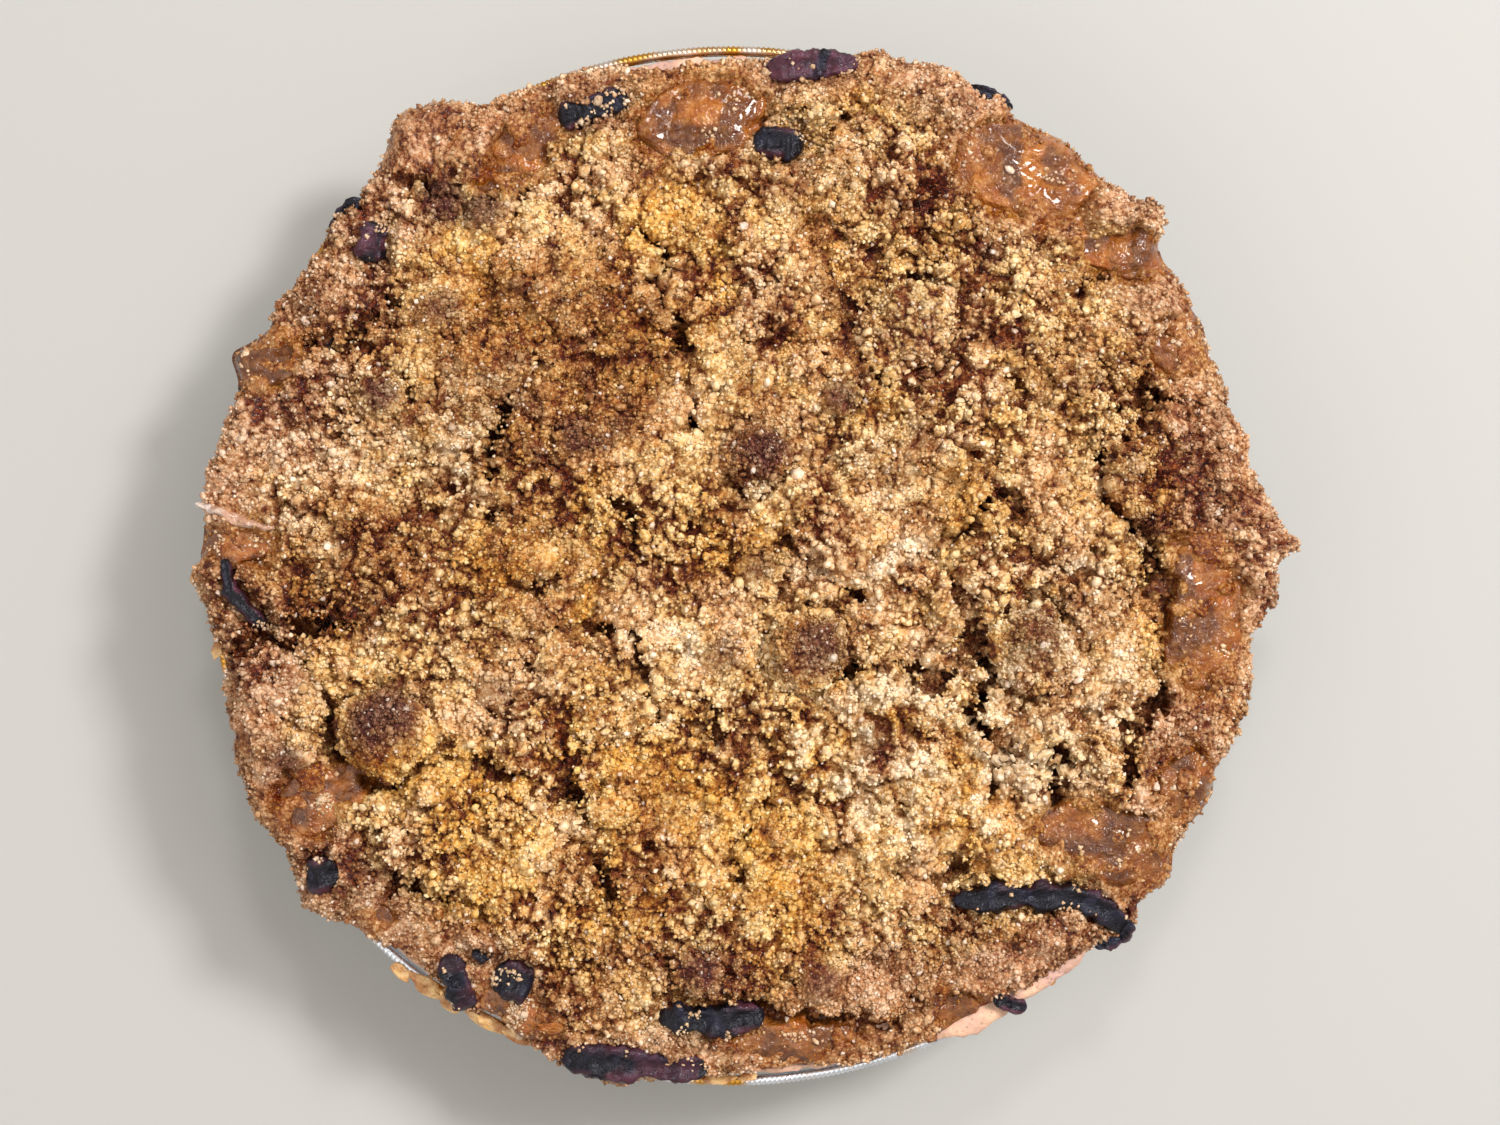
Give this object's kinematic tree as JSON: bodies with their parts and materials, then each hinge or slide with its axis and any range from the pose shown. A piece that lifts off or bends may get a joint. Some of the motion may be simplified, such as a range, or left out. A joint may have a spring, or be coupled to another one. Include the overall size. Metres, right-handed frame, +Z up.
{
  "type": "fruit crumble pie in a foil tin",
  "caption": "Whole baked fruit pie with a craggy crumble top and scorched, syrupy edges, in a round disposable foil tin with a rolled rim.",
  "frame": {"origin": "middle of the tin's flat base, on the surface that it stands on", "axes": "+Z up through the mound; +X to the right and +Y away in the view from above, with the long scorched slice towards +X and -Y"},
  "size_m": [0.2563, 0.244, 0.0603],
  "materials": {
    "foil": "bright thin foil with fine crimps, stained gold where syrup baked on",
    "pastry": "baked pastry, matte to satin",
    "crumble": "rough golden brown granules with darker high spots",
    "filling": "cooked fruit, hidden by the crumble and the pastry",
    "syrup": "wet caramel syrup",
    "char": "blackened fruit, semi gloss"
  },
  "bodies": {
    "root": {"foil_tin": "foil", "pastry_case": "pastry", "filling": "filling", "crumble": "crumble", "slice_01": "char", "slice_02": "char", "slice_03": "char", "slice_04": "char", "slice_05": "char", "slice_06": "char", "slice_07": "char", "slice_08": "char", "slice_09": "char", "slice_10": "char", "slice_11": "char", "syrup_01": "syrup", "syrup_02": "syrup", "syrup_03": "syrup", "syrup_04": "syrup", "syrup_05": "syrup", "syrup_06": "syrup", "syrup_07": "syrup", "syrup_08": "syrup", "syrup_09": "syrup", "syrup_10": "syrup", "syrup_11": "syrup", "syrup_12": "syrup"}
  },
  "joints": []
}
